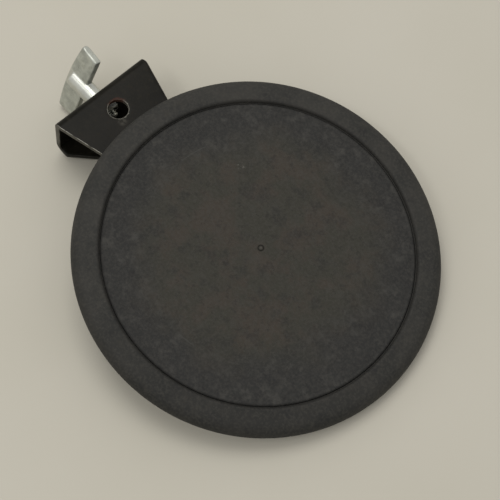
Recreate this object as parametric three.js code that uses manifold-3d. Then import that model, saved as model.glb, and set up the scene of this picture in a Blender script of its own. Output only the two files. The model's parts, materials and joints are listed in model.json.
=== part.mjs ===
// Drum practice pad with a rod clamp, lying on a flat surface: it rests on the far side of its rim
// and on the inner end of the clamp bracket's lower flange.
//
// Millimetres. Every piece is made in the pad's own frame: the playing surface is the plane z = 0,
// the pad's axis is Z, and the clamp bracket points to -X. The finished pad is then tilted and moved
// so that the surface it lies on is z = 0 and the origin is under the middle of its box.

import * as THREE from 'three';
import { mergeVertices } from 'three/addons/utils/BufferGeometryUtils.js';
import Module from 'manifold-3d';

const wasm = await Module();
wasm.setup();

// ---- Driving dimensions -------------------------------------------------------------------------

const FIT_GAP = 0.3; // between pieces that touch
const RUNNING_GAP = 0.1; // between a screw and its nut, on the radius
const EDGE_BREAK = 0.4; // chamfer on turned and sawn edges
const OVERRUN = 1; // how far a cutter reaches past the faces that it cuts

const RIM_INNER_RADIUS = 88;
const RIM_OUTER_RADIUS = 103.2;
const RIM_RISE = 1.6; // the rim's top, above the playing surface
const RIM_SHOULDER_RADIUS = 2;
const RIM_LIP_RADIUS = 90.8; // inner edge of the lip under the board
const BOARD_RADIUS = 94;
const RIM_EDGE_STEPS = 14;
const RIM_SHOULDER_STEPS = 5;

const RUBBER_THICKNESS = 3;
const FOAM_THICKNESS = 2.6;
const BOARD_THICKNESS = 5;
const BASE_PLATE_THICKNESS = 1.2;

const SHEET = 3.2; // the bracket's steel
const BRACKET_REACH = 134.2; // from the pad's axis to the wall's outer face
const BRACKET_HALF_WIDTH = 33;
const BRACKET_HEIGHT = 34.5;
const BRACKET_TAPER = THREE.MathUtils.degToRad(15);
const TONGUE_CORNER = 4;
const TOP_BEND_RADIUS = 5; // outside
const LOWER_BEND_RADIUS = 6; // outside
const TONGUE_END = 44; // distance from the pad's axis
const FLANGE_END = 100;
const FLANGE_SHOULDER = 125; // where the flange's corners start to be cut at 45 degrees
const ROD_HOLE_RADIUS = 5.9;
const ROD_HOLE_DISTANCE = 117.2;

const BRACKET_BOLT_PLACES = [
  [-77, -13],
  [-77, 13],
  [-54, 0],
];
// M5: the end stays below the board's top face.
const BRACKET_BOLT = { radius: 2.4, acrossFlats: 8, headHeight: 3.5, endDepth: 0.6 };
const BRACKET_WASHER = { radius: 5, thickness: 1 };
const TEE_NUT = { flangeRadius: 8.5, flange: 1.2, barrelRadius: 3.6, depth: 4.2 };

const BASE_SCREW_COUNT = 6;
const BASE_SCREW_CIRCLE = 70;
const BASE_SCREW = { radius: 1.6, headRadius: 3.5, headHeight: 2, headCorner: 1.3 };
const BASE_SCREW_POINT = { depth: 0.8, length: 1.6 }; // below the board's top face

const WING_BOLT_RADIUS = 3.9; // M8
const WING_BOLT_CHAMFER = 0.8;
const WALL_HOLE_RADIUS = 4.4;
const WING_AXIS_DROP = 18; // from the bracket's top face to the bolt's axis
const WING_BOLT_TIP = 120.8; // distance from the pad's axis, screwed fully in
const WING_BOLT_END = 148; // the stud's end inside the casting
const WING_TURN = THREE.MathUtils.degToRad(66.7); // of the blade, out of the pad's plane
const WING_BOSS_RADIUS = 5.7;
const WING_BOSS_END = 156.4;
const WING_BOSS_CHAMFER = 1.2;
const WING_INNER_EDGE = 144.8;
const WING_TIP_OUTER_EDGE = 157.8;
const WING_OUTER_EDGE = 160; // at the middle of the blade
const WING_INNER_HALF_SPAN = 24.1;
const WING_OUTER_HALF_SPAN = 25.6;
const WING_THICKNESS = 4.6;
const WING_CORNER_RADIUS = 1.2;

const WASHER_RADIUS = 8;
const WASHER_THICKNESS = 1.6;
const WELD_NUT_ACROSS_FLATS = 13;
const WELD_NUT_THICKNESS = 6.5;

const ROUND_SEGMENTS = 72; // round the pad
const HOLE_SEGMENTS = 32;
const SCREW_SEGMENTS = 16;
const BEND_SEGMENTS = 6; // in each quarter bend of the sheet
const BLADE_CURVE_SEGMENTS = 5;

// ---- Levels, from the playing surface down ------------------------------------------------------

const rubberBottom = -RUBBER_THICKNESS;
const foamTop = rubberBottom - FIT_GAP;
const foamBottom = foamTop - FOAM_THICKNESS;
const boardTop = foamBottom - FIT_GAP;
const boardBottom = boardTop - BOARD_THICKNESS;
const basePlateTop = boardBottom - FIT_GAP;
const padUnderside = basePlateTop - BASE_PLATE_THICKNESS;
const bracketTop = padUnderside - FIT_GAP;
const tongueBottom = bracketTop - SHEET;
const bracketWasherTop = tongueBottom - FIT_GAP;
const bracketBoltSeat = bracketWasherTop - BRACKET_WASHER.thickness - FIT_GAP;
const bracketBottom = bracketTop - BRACKET_HEIGHT;
const wingAxisHeight = bracketTop - WING_AXIS_DROP;

const rimEdgeRadius = (RIM_RISE - padUnderside) / 2;
const rimEdgeCentre = { r: RIM_OUTER_RADIUS - rimEdgeRadius, z: RIM_RISE - rimEdgeRadius };

// ---- Along the wing bolt, as distances from the pad's axis --------------------------------------

const wallInner = BRACKET_REACH - SHEET;
const weldNutOuter = wallInner - FIT_GAP;
const washerInner = BRACKET_REACH + FIT_GAP;
const washerOuter = washerInner + WASHER_THICKNESS;
const wingSeat = washerOuter + FIT_GAP;

// ---- Materials ----------------------------------------------------------------------------------

const paint = (color, roughness, metalness) =>
  new THREE.MeshStandardMaterial({ color, roughness, metalness });

const surfaceRubber = paint(0x3c3b38, 0.85, 0);
const rimRubber = paint(0x393937, 0.8, 0);
const foam = paint(0x26282a, 1, 0);
const plywood = paint(0xa9825a, 0.8, 0);
const blackPaint = paint(0x23221f, 0.45, 0.2);
const zincPlate = paint(0xb4b6b2, 0.35, 1);
const castZinc = paint(0x96988e, 0.5, 1);

// ---- Shape helpers ------------------------------------------------------------------------------

/** A lathe round Z from [r, z] points: a closed loop, or a line that starts and ends on the axis. */
function turned(points, segments) {
  const profile = points.map(([r, z]) => new THREE.Vector2(r, z));
  return new THREE.LatheGeometry(profile, segments).rotateX(Math.PI / 2);
}

/** A solid round bar along Z, with both edges broken by a chamfer. */
function bar(radius, bottom, top, segments, chamfer = 0) {
  const inner = radius - chamfer;
  const outline = [[0, bottom], [inner, bottom]];
  if (chamfer > 0) outline.push([radius, bottom + chamfer], [radius, top - chamfer]);
  outline.push([inner, top], [0, top]);
  return turned(outline, segments);
}

/** A round tube along Z. */
function tube(innerRadius, outerRadius, bottom, top, segments) {
  const loop = [
    [innerRadius, bottom],
    [outerRadius, bottom],
    [outerRadius, top],
    [innerRadius, top],
    [innerRadius, bottom],
  ];
  return turned(loop, segments);
}

/** A flat outline in XY, given as a THREE.Shape, as a prism from one level to another. */
function prism(shape, bottom, top) {
  const options = { depth: top - bottom, bevelEnabled: false, curveSegments: BEND_SEGMENTS };
  return new THREE.ExtrudeGeometry(shape, options).translate(0, 0, bottom);
}

/** A regular hexagonal prism along Z. */
function hexagon(acrossFlats, bottom, top) {
  const cornerRadius = acrossFlats / 2 / Math.cos(Math.PI / 6);
  const corners = [0, 1, 2, 3, 4, 5].map((index) => {
    const angle = (index * Math.PI) / 3;
    return new THREE.Vector2(cornerRadius * Math.cos(angle), cornerRadius * Math.sin(angle));
  });
  return prism(new THREE.Shape(corners), bottom, top);
}

/** A cutter for a small round hole along Z, through everything between two levels. */
function drill(radius, bottom, top, segments = SCREW_SEGMENTS) {
  return bar(radius, bottom - OVERRUN, top + OVERRUN, segments);
}

/** Points on a circular arc in the [r, z] plane, angles in degrees. */
function arc(centre, radius, from, to, steps) {
  const points = [];
  for (let i = 0; i <= steps; i++) {
    const angle = THREE.MathUtils.degToRad(from + ((to - from) * i) / steps);
    points.push([centre.r + radius * Math.cos(angle), centre.z + radius * Math.sin(angle)]);
  }
  return points;
}

/** Turns a shape made along +Z so that it lies along -X, at the wing bolt's height. */
function alongWingBolt(geometry) {
  return geometry.rotateY(-Math.PI / 2).translate(0, 0, wingAxisHeight);
}

function toSolid(geometry) {
  const bare = geometry.clone();
  bare.deleteAttribute('normal');
  bare.deleteAttribute('uv');
  const merged = mergeVertices(bare, 1e-4);
  return new wasm.Manifold(
    new wasm.Mesh({
      numProp: 3,
      vertProperties: new Float32Array(merged.attributes.position.array),
      triVerts: new Uint32Array(merged.index.array),
    }),
  );
}

function toGeometry(solid) {
  const mesh = solid.getMesh();
  const geometry = new THREE.BufferGeometry();
  geometry.setAttribute('position', new THREE.BufferAttribute(mesh.vertProperties, 3));
  geometry.setIndex(new THREE.BufferAttribute(mesh.triVerts, 1));
  geometry.computeVertexNormals();
  return geometry;
}

function cut(geometry, holes) {
  const solid = holes.reduce((rest, hole) => rest.subtract(toSolid(hole)), toSolid(geometry));
  return toGeometry(solid);
}

// ---- Pad ----------------------------------------------------------------------------------------

function playingSurface() {
  const radius = RIM_INNER_RADIUS - 2 * FIT_GAP;
  return bar(radius, rubberBottom, 0, ROUND_SEGMENTS, EDGE_BREAK);
}

function shockFoam() {
  return bar(RIM_INNER_RADIUS - 3 * FIT_GAP, foamBottom, foamTop, ROUND_SEGMENTS);
}

/** The rim's section: a round-edged ring whose inner side has a groove that grips the board. */
function rimCover() {
  const shoulder = { r: RIM_INNER_RADIUS + RIM_SHOULDER_RADIUS, z: RIM_RISE - RIM_SHOULDER_RADIUS };
  const grooveTop = boardTop + FIT_GAP;
  const grooveBottom = boardBottom - FIT_GAP;
  const grooveRadius = BOARD_RADIUS + FIT_GAP;
  const section = [
    [RIM_INNER_RADIUS, grooveTop],
    [grooveRadius, grooveTop],
    [grooveRadius, grooveBottom],
    [RIM_LIP_RADIUS, grooveBottom],
    [RIM_LIP_RADIUS, padUnderside],
    ...arc(rimEdgeCentre, rimEdgeRadius, -90, 90, RIM_EDGE_STEPS),
    ...arc(shoulder, RIM_SHOULDER_RADIUS, 90, 180, RIM_SHOULDER_STEPS),
    [RIM_INNER_RADIUS, grooveTop],
  ];
  return turned(section, ROUND_SEGMENTS);
}

/** Puts copies of a shape made on the Z axis at the bracket bolts' places. */
const atBracketBolts = (make) => BRACKET_BOLT_PLACES.map(([x, y]) => make().translate(x, y, 0));

function baseScrewPlace(index) {
  const angle = ((index + 0.5) * 2 * Math.PI) / BASE_SCREW_COUNT;
  return [BASE_SCREW_CIRCLE * Math.cos(angle), BASE_SCREW_CIRCLE * Math.sin(angle)];
}

function atBaseScrews(make) {
  const places = Array.from({ length: BASE_SCREW_COUNT }, (_, index) => baseScrewPlace(index));
  return places.map(([x, y]) => make().translate(x, y, 0));
}

function deckBoard() {
  const board = bar(BOARD_RADIUS, boardBottom, boardTop, ROUND_SEGMENTS, EDGE_BREAK);
  const recessFloor = boardTop - TEE_NUT.flange - FIT_GAP;
  const recess = () =>
    bar(TEE_NUT.flangeRadius + FIT_GAP, recessFloor, boardTop + OVERRUN, HOLE_SEGMENTS);
  const barrelHole = () => drill(TEE_NUT.barrelRadius + FIT_GAP, boardBottom, boardTop);
  const pilotHole = () => drill(BASE_SCREW.radius + FIT_GAP, boardBottom, boardTop);
  return cut(board, [
    ...atBracketBolts(recess),
    ...atBracketBolts(barrelHole),
    ...atBaseScrews(pilotHole),
  ]);
}

function basePlate() {
  const plate = bar(RIM_LIP_RADIUS - FIT_GAP, padUnderside, basePlateTop, ROUND_SEGMENTS);
  const boltHole = () => drill(BRACKET_BOLT.radius + FIT_GAP, padUnderside, basePlateTop);
  const screwHole = () => drill(BASE_SCREW.radius + FIT_GAP, padUnderside, basePlateTop);
  return cut(plate, [...atBracketBolts(boltHole), ...atBaseScrews(screwHole)]);
}

/** Pan-head wood screw, driven up through the base plate into the board. */
function baseScrew() {
  const { radius, headRadius, headHeight, headCorner } = BASE_SCREW;
  const seat = padUnderside - FIT_GAP;
  const point = boardTop - BASE_SCREW_POINT.depth;
  const corner = { r: headRadius - headCorner, z: seat - headHeight + headCorner };
  const outline = [
    [0, seat - headHeight],
    ...arc(corner, headCorner, -90, 0, 2),
    [headRadius, seat],
    [radius, seat],
    [radius, point - BASE_SCREW_POINT.length],
    [0, point],
  ];
  return turned(outline, SCREW_SEGMENTS);
}

// ---- Clamp bracket and its fixings --------------------------------------------------------------

/** The folded channel's side view, as an outline in [distance from the pad's axis, height]. */
function channelSection() {
  const innerTop = TOP_BEND_RADIUS - SHEET;
  const innerLower = LOWER_BEND_RADIUS - SHEET;
  const wallOuter = BRACKET_REACH;
  const topBend = [wallOuter - TOP_BEND_RADIUS, bracketTop - TOP_BEND_RADIUS];
  const lowerBend = [wallOuter - LOWER_BEND_RADIUS, bracketBottom + LOWER_BEND_RADIUS];
  const shape = new THREE.Shape();
  shape.moveTo(TONGUE_END, tongueBottom);
  shape.lineTo(topBend[0], tongueBottom);
  shape.absarc(...topBend, innerTop, Math.PI / 2, 0, true);
  shape.lineTo(wallInner, lowerBend[1]);
  shape.absarc(...lowerBend, innerLower, 0, -Math.PI / 2, true);
  shape.lineTo(FLANGE_END, bracketBottom + SHEET);
  shape.lineTo(FLANGE_END, bracketBottom);
  shape.lineTo(lowerBend[0], bracketBottom);
  shape.absarc(...lowerBend, LOWER_BEND_RADIUS, -Math.PI / 2, 0, false);
  shape.lineTo(wallOuter, topBend[1]);
  shape.absarc(...topBend, TOP_BEND_RADIUS, 0, Math.PI / 2, false);
  shape.lineTo(TONGUE_END, bracketTop);
  return shape;
}

/** An outline symmetric about the X axis, from [distance, half width] points on one side. */
function symmetricOutline(side) {
  const far = side.map(([distance, half]) => new THREE.Vector2(-distance, half));
  const near = side.map(([distance, half]) => new THREE.Vector2(-distance, -half)).reverse();
  return new THREE.Shape([...far, ...near]);
}

/** Seen from above, the top plate tapers evenly from the bend to the tongue's cut corners. */
function topPlateOutline() {
  const bend = BRACKET_REACH - TOP_BEND_RADIUS;
  const corner = TONGUE_END + TONGUE_CORNER;
  const halfWidth = (distance) => BRACKET_HALF_WIDTH - (bend - distance) * Math.tan(BRACKET_TAPER);
  return symmetricOutline([
    [BRACKET_REACH + OVERRUN, BRACKET_HALF_WIDTH],
    [bend, BRACKET_HALF_WIDTH],
    [corner, halfWidth(corner)],
    [TONGUE_END - OVERRUN, halfWidth(TONGUE_END) - TONGUE_CORNER],
  ]);
}

/** Seen from below, the lower flange has its corners cut at 45 degrees down to a narrow end. */
function lowerFlangeOutline() {
  const endHalfWidth = BRACKET_HALF_WIDTH - (FLANGE_SHOULDER - FLANGE_END);
  return symmetricOutline([
    [BRACKET_REACH + OVERRUN, BRACKET_HALF_WIDTH],
    [FLANGE_SHOULDER, BRACKET_HALF_WIDTH],
    [FLANGE_END, endHalfWidth],
    [FLANGE_END - OVERRUN, endHalfWidth],
  ]);
}

function clampBracket() {
  const channel = prism(channelSection(), -BRACKET_HALF_WIDTH, BRACKET_HALF_WIDTH);
  // The section is drawn in XY and extruded along Z: this stands it up, with distance running to -X.
  channel.rotateX(Math.PI / 2).rotateZ(Math.PI);

  const upper = toSolid(prism(topPlateOutline(), wingAxisHeight, bracketTop + OVERRUN));
  const lower = toSolid(prism(lowerFlangeOutline(), bracketBottom - OVERRUN, wingAxisHeight));
  const blank = toGeometry(toSolid(channel).intersect(upper.add(lower)));

  const rodHole = drill(ROD_HOLE_RADIUS, bracketBottom, bracketTop, HOLE_SEGMENTS);
  rodHole.translate(-ROD_HOLE_DISTANCE, 0, 0);
  const wallHole = alongWingBolt(drill(WALL_HOLE_RADIUS, wallInner, BRACKET_REACH, HOLE_SEGMENTS));
  const boltHole = () => drill(BRACKET_BOLT.radius + 2 * FIT_GAP, tongueBottom, bracketTop);
  return cut(blank, [rodHole, wallHole, ...atBracketBolts(boltHole)]);
}

function teeNut() {
  const bore = BRACKET_BOLT.radius + RUNNING_GAP;
  const bottom = boardTop - TEE_NUT.depth;
  const under = boardTop - TEE_NUT.flange;
  const loop = [
    [bore, bottom],
    [TEE_NUT.barrelRadius, bottom],
    [TEE_NUT.barrelRadius, under],
    [TEE_NUT.flangeRadius, under],
    [TEE_NUT.flangeRadius, boardTop],
    [bore, boardTop],
    [bore, bottom],
  ];
  return turned(loop, SCREW_SEGMENTS);
}

function bracketWasher() {
  const bottom = bracketWasherTop - BRACKET_WASHER.thickness;
  const bore = BRACKET_BOLT.radius + FIT_GAP;
  return tube(bore, BRACKET_WASHER.radius, bottom, bracketWasherTop, SCREW_SEGMENTS);
}

/** Hexagon bolt, head down; the shank's lower end is buried in the head. */
function bracketBolt() {
  const { radius, acrossFlats, headHeight, endDepth } = BRACKET_BOLT;
  const head = hexagon(acrossFlats, bracketBoltSeat - headHeight, bracketBoltSeat);
  const shankBottom = bracketBoltSeat - headHeight / 2;
  const shank = bar(radius, shankBottom, boardTop - endDepth, SCREW_SEGMENTS, EDGE_BREAK);
  return toGeometry(toSolid(head).add(toSolid(shank)));
}

// ---- Wing bolt, made along +Z with Z as the distance from the pad's axis -------------------------

function weldNut() {
  const inner = weldNutOuter - WELD_NUT_THICKNESS;
  const bore = drill(WING_BOLT_RADIUS + RUNNING_GAP, inner, weldNutOuter, HOLE_SEGMENTS);
  return alongWingBolt(cut(hexagon(WELD_NUT_ACROSS_FLATS, inner, weldNutOuter), [bore]));
}

function wingWasher() {
  const bore = WING_BOLT_RADIUS + FIT_GAP;
  return alongWingBolt(tube(bore, WASHER_RADIUS, washerInner, washerOuter, HOLE_SEGMENTS));
}

function wingShank() {
  const stud = bar(
    WING_BOLT_RADIUS,
    WING_BOLT_TIP,
    WING_BOLT_END,
    HOLE_SEGMENTS,
    WING_BOLT_CHAMFER,
  );
  return alongWingBolt(stud);
}

/** One half of the blade in [distance, radius]: it widens outwards, and its outer edge is bowed. */
function halfBlade() {
  const inner = new THREE.Vector2(WING_INNER_EDGE, WING_INNER_HALF_SPAN);
  const outer = new THREE.Vector2(WING_TIP_OUTER_EDGE, WING_OUTER_HALF_SPAN);
  const tip = outer.clone().sub(inner).setLength(WING_CORNER_RADIUS);
  const shape = new THREE.Shape();
  shape.moveTo(inner.x, 0);
  shape.lineTo(inner.x, inner.y - WING_CORNER_RADIUS);
  shape.quadraticCurveTo(inner.x, inner.y, inner.x + tip.x, inner.y + tip.y);
  shape.lineTo(outer.x - tip.x, outer.y - tip.y);
  shape.quadraticCurveTo(outer.x, outer.y, outer.x, outer.y - WING_CORNER_RADIUS);
  shape.quadraticCurveTo(WING_OUTER_EDGE, outer.y / 2, WING_OUTER_EDGE, 0);
  return shape;
}

/** The blade: two mirrored halves of one flat outline, centred on its own thickness. */
function wingBlade() {
  const half = halfBlade().getPoints(BLADE_CURVE_SEGMENTS);
  const mirrored = half.slice(1, -1).reverse().map((point) => new THREE.Vector2(point.x, -point.y));
  const outline = new THREE.Shape([...half, ...mirrored]);
  const blade = prism(outline, -WING_THICKNESS / 2, WING_THICKNESS / 2);
  return blade.rotateY(-Math.PI / 2).rotateZ(-WING_TURN);
}

function wingHead() {
  const boss = turned(
    [
      [0, wingSeat],
      [WING_BOSS_RADIUS, wingSeat],
      [WING_BOSS_RADIUS, WING_BOSS_END - WING_BOSS_CHAMFER],
      [WING_BOSS_RADIUS - WING_BOSS_CHAMFER, WING_BOSS_END],
      [0, WING_BOSS_END],
    ],
    HOLE_SEGMENTS,
  );
  const socketRadius = WING_BOLT_RADIUS + FIT_GAP;
  const socket = bar(socketRadius, wingSeat - OVERRUN, WING_BOLT_END + FIT_GAP, HOLE_SEGMENTS);
  const body = toGeometry(toSolid(boss).add(toSolid(wingBlade())));
  return alongWingBolt(cut(body, [socket]));
}

// ---- Assembly -----------------------------------------------------------------------------------

const pad = new THREE.Group();

function place(name, geometry, material, x = 0, y = 0) {
  const mesh = new THREE.Mesh(geometry, material.clone());
  mesh.name = name;
  mesh.position.set(x, y, 0);
  pad.add(mesh);
}

place('playing_surface', playingSurface(), surfaceRubber);
place('shock_foam', shockFoam(), foam);
place('deck_board', deckBoard(), plywood);
place('rim_cover', rimCover(), rimRubber);
place('base_plate', basePlate(), blackPaint);
for (let index = 0; index < BASE_SCREW_COUNT; index++) {
  place(`base_screw_${index + 1}`, baseScrew(), zincPlate, ...baseScrewPlace(index));
}

place('clamp_bracket', clampBracket(), blackPaint);
BRACKET_BOLT_PLACES.forEach(([x, y], index) => {
  place(`tee_nut_${index + 1}`, teeNut(), zincPlate, x, y);
  place(`bracket_washer_${index + 1}`, bracketWasher(), zincPlate, x, y);
  place(`bracket_bolt_${index + 1}`, bracketBolt(), zincPlate, x, y);
});

place('weld_nut', weldNut(), zincPlate);
place('wing_washer', wingWasher(), zincPlate);
place('wing_shank', wingShank(), zincPlate);
place('wing_head', wingHead(), castZinc);

/** The tilt at which the rim's round edge and the flange's inner end both touch a flat surface. */
function restingTilt() {
  const run = rimEdgeCentre.r + FLANGE_END;
  const drop = rimEdgeCentre.z - bracketBottom;
  return Math.atan2(drop, run) - Math.asin(rimEdgeRadius / Math.hypot(run, drop));
}

pad.rotation.y = restingTilt();
pad.updateMatrixWorld(true);
const extent = new THREE.Box3().setFromObject(pad, true);
const middle = extent.getCenter(new THREE.Vector3());
pad.position.set(-middle.x, -middle.y, -extent.min.z);

const practicePad = new THREE.Group();
practicePad.add(pad);

export default practicePad;
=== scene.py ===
"""Looks of a drum practice pad with a rod clamp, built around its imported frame.

Shapes are drawn in millimetres in the pad's own frame: the playing surface is z = 0, the pad's axis
is +Z and the clamp bracket points to -X. PAD then places every mesh in the row frame, where the pad
rests tilted on the floor, and the materials turn their coordinates back into the pad's frame.
"""

import json
import math

import bmesh
import bpy
from mathutils import Matrix, Quaternion, Vector, noise
from mathutils.geometry import area_tri, delaunay_2d_cdt
from mathutils.kdtree import KDTree


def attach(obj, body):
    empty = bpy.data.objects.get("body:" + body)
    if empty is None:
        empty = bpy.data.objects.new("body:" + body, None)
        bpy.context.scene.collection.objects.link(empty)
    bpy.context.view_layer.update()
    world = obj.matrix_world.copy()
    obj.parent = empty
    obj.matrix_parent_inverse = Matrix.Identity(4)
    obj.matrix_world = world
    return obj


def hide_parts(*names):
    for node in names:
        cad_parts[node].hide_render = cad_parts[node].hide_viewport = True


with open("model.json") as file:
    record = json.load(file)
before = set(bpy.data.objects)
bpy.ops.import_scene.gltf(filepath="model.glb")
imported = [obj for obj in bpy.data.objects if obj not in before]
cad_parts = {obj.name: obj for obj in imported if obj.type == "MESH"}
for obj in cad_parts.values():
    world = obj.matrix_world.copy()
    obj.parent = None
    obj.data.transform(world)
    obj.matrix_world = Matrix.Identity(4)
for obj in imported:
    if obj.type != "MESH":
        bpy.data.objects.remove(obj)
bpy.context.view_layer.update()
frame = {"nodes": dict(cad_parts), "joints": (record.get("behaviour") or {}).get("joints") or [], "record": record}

MM = 0.001


# ---- The pad's frame and the sizes read from it ----

def find_named(rows, name):
    return next(row for row in rows if row["name"] == name)


surface_mount = find_named(frame["record"]["mounts"], "playing_surface")
bolt_joint = find_named(frame["joints"], "bolt_turn")
pad_up = Vector(surface_mount["axis"]).normalized()
pad_right = -Vector(bolt_joint["axis"]).normalized()
pad_axes = Matrix((pad_right, pad_up.cross(pad_right), pad_up)).transposed()
PAD = Matrix.Translation(surface_mount["pos_m"]) @ pad_axes.to_4x4()
TO_PAD = PAD.inverted()


def extent(node):
    """Lowest and highest corner of a CAD node in the pad's frame, in millimetres."""
    points = [TO_PAD @ vertex.co / MM for vertex in frame["nodes"][node].data.vertices]
    return Vector(map(min, zip(*points))), Vector(map(max, zip(*points)))


disc_low, disc_high = extent("playing_surface")
foam_low, foam_high = extent("shock_foam")
rim_low, rim_high = extent("rim_cover")
board_low, board_high = extent("deck_board")
base_low, base_high = extent("base_plate")
bracket_low, bracket_high = extent("clamp_bracket")
shank_low, shank_high = extent("wing_shank")
washer_low, washer_high = extent("wing_washer")
nut_low, nut_high = extent("weld_nut")
wing_low, wing_high = extent("wing_head")

SHEET = 3.2
TOP_BEND = 5
LOWER_BEND = 6
BRACKET_TAPER = math.radians(15)
TONGUE_CORNER = 4
FLANGE_END = 100
FLANGE_SHOULDER = 125
ROD_HOLE_RADIUS = 5.9
WALL_HOLE_RADIUS = 4.4
BRACKET_BOLT_HOLE_RADIUS = 3

RIM_BORE = 88
RIM_SHOULDER_RADIUS = 2
RIM_LIP_RADIUS = 90.8
PIP_RADIUS = 1.3
FOAM_CELL = 0.8
VENEER_COUNT = 5

BASE_SCREW_COUNT = 6
BASE_SCREW_HOLE_RADIUS = 1.9
BASE_BOLT_HOLE_RADIUS = 2.7
BRACKET_BOLT_COUNT = 3
WASHER_CLEARANCE = 0.3
M5 = {"radius": 2.4, "pitch": 0.8}
M8 = {"radius": 3.9, "pitch": 1.25}
WOOD_SCREW = {"radius": 1.6, "pitch": 1.3}

WING_TURN = math.radians(66.7)
WING_BOSS_RADIUS = 5.7
WING_BOSS_END = 156.4
WING_INNER_EDGE = 144.8
WING_TIP_OUTER_EDGE = 157.8
WING_INNER_HALF_SPAN = 24.1
WING_OUTER_HALF_SPAN = 25.6
WING_THICKNESS = 4.6
WING_FACET = 2.6
CAST_VOXEL = 0.32
CAST_SMOOTHING = 14

# Marks on the rubber: a ring at a share of the disc's radius, a scuff's (x, y), and the display colour of the
# painted shade in the gap round the disc.
PALE_RING_SHARE = 0.76
DISC_SCUFF = (-42.5, 24.8)
GAP_SHADE_COLOUR = (30, 29, 28)

bolt_height = (TO_PAD @ Vector(bolt_joint["pos_m"])).z / MM
rod_mount = find_named(frame["record"]["mounts"], "stand_rod")
rod_distance = -(TO_PAD @ Vector(rod_mount["pos_m"])).x / MM

# Along the wing bolt: +Z of this frame runs outwards from the pad's axis, at the bolt's height.
ALONG_BOLT = Matrix(((0, 0, -1, 0), (0, 1, 0, 0), (1, 0, 0, bolt_height), (0, 0, 0, 1)))

# The bracket seen from the side: distances from the pad's axis, and lengths along its sheet.
wall_outer = -bracket_low.x
tongue_end = -bracket_high.x
half_width = bracket_high.y
top_bend_middle = TOP_BEND - SHEET / 2
lower_bend_middle = LOWER_BEND - SHEET / 2
tongue_length = wall_outer - TOP_BEND - tongue_end
wall_length = bracket_high.z - bracket_low.z - TOP_BEND - LOWER_BEND
flange_length = wall_outer - LOWER_BEND - FLANGE_END

# The sheet's middle line as (length, bend radius) stretches, from the tongue's end.
stretches = [
    (tongue_length, None),
    (top_bend_middle * math.pi / 2, top_bend_middle),
    (wall_length, None),
    (lower_bend_middle * math.pi / 2, lower_bend_middle),
    (flange_length, None),
]
blank_length = sum(length for length, bend in stretches)


# ---- Shape helpers ----

def skin(rings, loop=False):
    """Points and faces of a surface through rings of points. A ring of one point is a pole."""
    points = [point for ring in rings for point in ring]
    starts = [sum(len(ring) for ring in rings[:i]) for i in range(len(rings))]
    faces = []
    last = len(rings) if loop else len(rings) - 1
    for here in range(last):
        there = (here + 1) % len(rings)
        a, b = len(rings[here]), len(rings[there])
        for i in range(max(a, b)):
            j = i + 1
            near = (starts[here] + i % a, starts[here] + j % a)
            far = (starts[there] + j % b, starts[there] + i % b)
            faces.append(tuple(dict.fromkeys(near + far)))
    return points, faces


def polar(radius, angle, height):
    return Vector((radius * math.cos(angle), radius * math.sin(angle), height))


def circle(radius, height, segments):
    if radius == 0:
        return [Vector((0, 0, height))]
    return [polar(radius, 2 * math.pi * i / segments, height) for i in range(segments)]


def turned(profile, segments=64, loop=False):
    """A surface of revolution round Z from (radius, height) points."""
    return skin([circle(radius, height, segments) for radius, height in profile], loop)


def filleted(corners, step=math.radians(12)):
    """An outline through (x, y, radius) corners, each one rounded by an arc of its radius."""
    points = []
    for i, (x, y, radius) in enumerate(corners):
        corner = Vector((x, y))
        if radius == 0:
            points.append(corner)
            continue
        before = (Vector(corners[i - 1][:2]) - corner).normalized()
        after = (Vector(corners[(i + 1) % len(corners)][:2]) - corner).normalized()
        half = before.angle(after) / 2
        start = corner + before * radius / math.tan(half)
        centre = corner + (before + after).normalized() * radius / math.sin(half)
        sweep = math.copysign(math.pi - 2 * half, after.cross(before))
        steps = max(1, math.ceil(abs(sweep) / step))
        for k in range(steps + 1):
            points.append(centre + Matrix.Rotation(sweep * k / steps, 2) @ (start - centre))
    return points


def rod_profile(radius, start, end, start_round, end_round):
    """Half the section of a disc or rod with rounded edges, from the axis to the axis."""
    corners = [(radius, start, start_round), (radius, end, end_round)]
    return filleted([(0, start, 0), *corners, (0, end, 0)])


def shifted(loop, distance):
    """The loop moved to its left by a distance, with mitred corners."""
    result = []
    for i, point in enumerate(loop):
        into = (point - loop[i - 1]).normalized()
        out = (loop[(i + 1) % len(loop)] - point).normalized()
        left = Vector((-into.y - out.y, into.x + out.x)).normalized()
        result.append(point + left * distance / math.cos(into.angle(out) / 2))
    return result


def hole_loop(x, y, radius, segments=48):
    """A round hole's edge, clockwise, so that the material is on its left."""
    angles = [-2 * math.pi * i / segments for i in range(segments)]
    return [Vector((x + radius * math.cos(a), y + radius * math.sin(a))) for a in angles]


def divided(loop, spacing):
    """The loop with its long edges split into steps of about a spacing."""
    points = []
    for i, point in enumerate(loop):
        before = loop[i - 1]
        steps = max(1, round((point - before).length / spacing))
        points += [before.lerp(point, k / steps) for k in range(1, steps + 1)]
    return points


def tree_of(loops):
    points = [point for loop in loops for point in loop]
    tree = KDTree(len(points))
    for i, point in enumerate(points):
        tree.insert(point.to_3d(), i)
    tree.balance()
    return tree


def inside(point, loop):
    """Whether a point lies inside a loop, by counting the edges to its right."""
    crossings = 0
    for i in range(len(loop)):
        a, b = loop[i - 1], loop[i]
        if (a.y > point.y) != (b.y > point.y):
            crossings += point.x < a.x + (b.x - a.x) * (point.y - a.y) / (b.y - a.y)
    return crossings % 2 == 1


EDGE_SPACING = 0.8
SLIVER_AREA = 1e-4
MERGE_DISTANCE = 1e-5
INSIDE_ONLY = 1


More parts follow.
